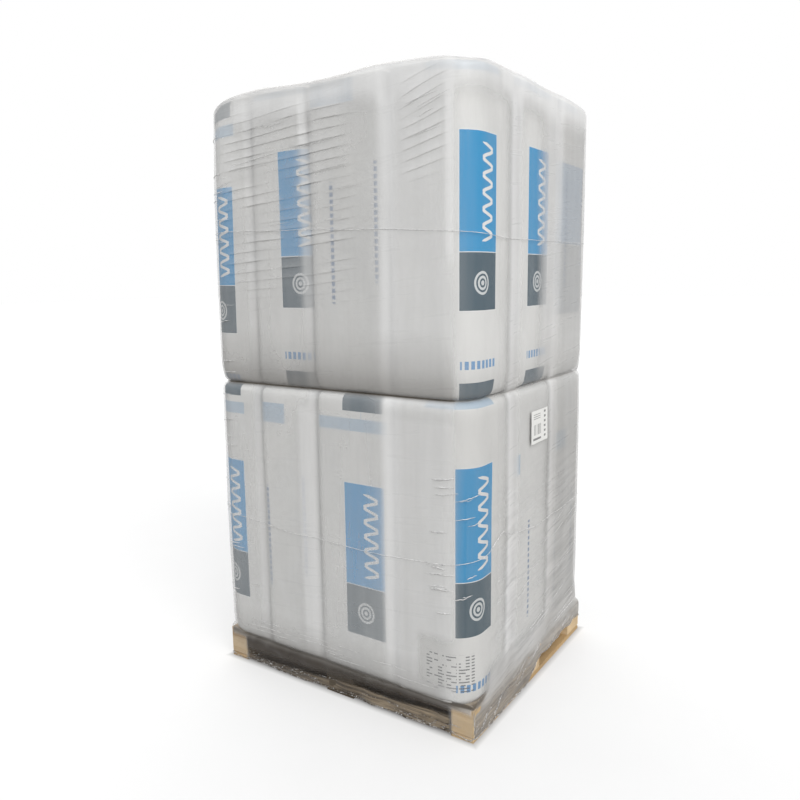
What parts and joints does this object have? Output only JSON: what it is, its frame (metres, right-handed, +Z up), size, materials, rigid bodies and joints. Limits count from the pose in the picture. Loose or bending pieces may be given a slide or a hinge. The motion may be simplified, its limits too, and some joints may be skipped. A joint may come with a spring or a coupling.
{
  "type": "pallet load of insulation rolls",
  "caption": "Wooden block pallet carrying two tiers of bagged mineral wool insulation rolls, standing on end under a clear stretch film hood.",
  "frame": {"origin": "on the ground under the middle of the pallet", "axes": "+X across the load to its right, +Y from its front to its back, +Z up"},
  "size_m": [1.3236, 1.2242, 2.545],
  "materials": {
    "roll_bag": "milky white printed polythene bag, soft sheen",
    "stretch_film": "clear stretch film with fine wrinkles",
    "pallet_wood": "rough sawn softwood",
    "label_paper": "white self-adhesive label with black marks"
  },
  "bodies": {
    "root": {"block_centre_back": "pallet_wood", "block_centre_front": "pallet_wood", "block_centre_middle": "pallet_wood", "block_left_back": "pallet_wood", "block_left_front": "pallet_wood", "block_left_middle": "pallet_wood", "block_right_back": "pallet_wood", "block_right_front": "pallet_wood", "block_right_middle": "pallet_wood", "cross_board_back": "pallet_wood", "cross_board_front": "pallet_wood", "cross_board_middle": "pallet_wood", "deck_board_1": "pallet_wood", "deck_board_2": "pallet_wood", "deck_board_3": "pallet_wood", "deck_board_4": "pallet_wood", "deck_board_5": "pallet_wood", "deck_board_6": "pallet_wood", "deck_board_7": "pallet_wood", "delivery_label": "label_paper", "roll_lower_back_1": "roll_bag", "roll_lower_back_2": "roll_bag", "roll_lower_back_3": "roll_bag", "roll_lower_back_4": "roll_bag", "roll_lower_front_1": "roll_bag", "roll_lower_front_2": "roll_bag", "roll_lower_front_3": "roll_bag", "roll_lower_front_4": "roll_bag", "roll_lower_middle_1": "roll_bag", "roll_lower_middle_2": "roll_bag", "roll_lower_middle_3": "roll_bag", "roll_lower_middle_4": "roll_bag", "roll_upper_back_1": "roll_bag", "roll_upper_back_2": "roll_bag", "roll_upper_back_3": "roll_bag", "roll_upper_back_4": "roll_bag", "roll_upper_front_1": "roll_bag", "roll_upper_front_2": "roll_bag", "roll_upper_front_3": "roll_bag", "roll_upper_front_4": "roll_bag", "roll_upper_middle_1": "roll_bag", "roll_upper_middle_2": "roll_bag", "roll_upper_middle_3": "roll_bag", "roll_upper_middle_4": "roll_bag", "skid_centre": "pallet_wood", "skid_left": "pallet_wood", "skid_right": "pallet_wood", "stretch_hood": "stretch_film"}
  },
  "joints": []
}
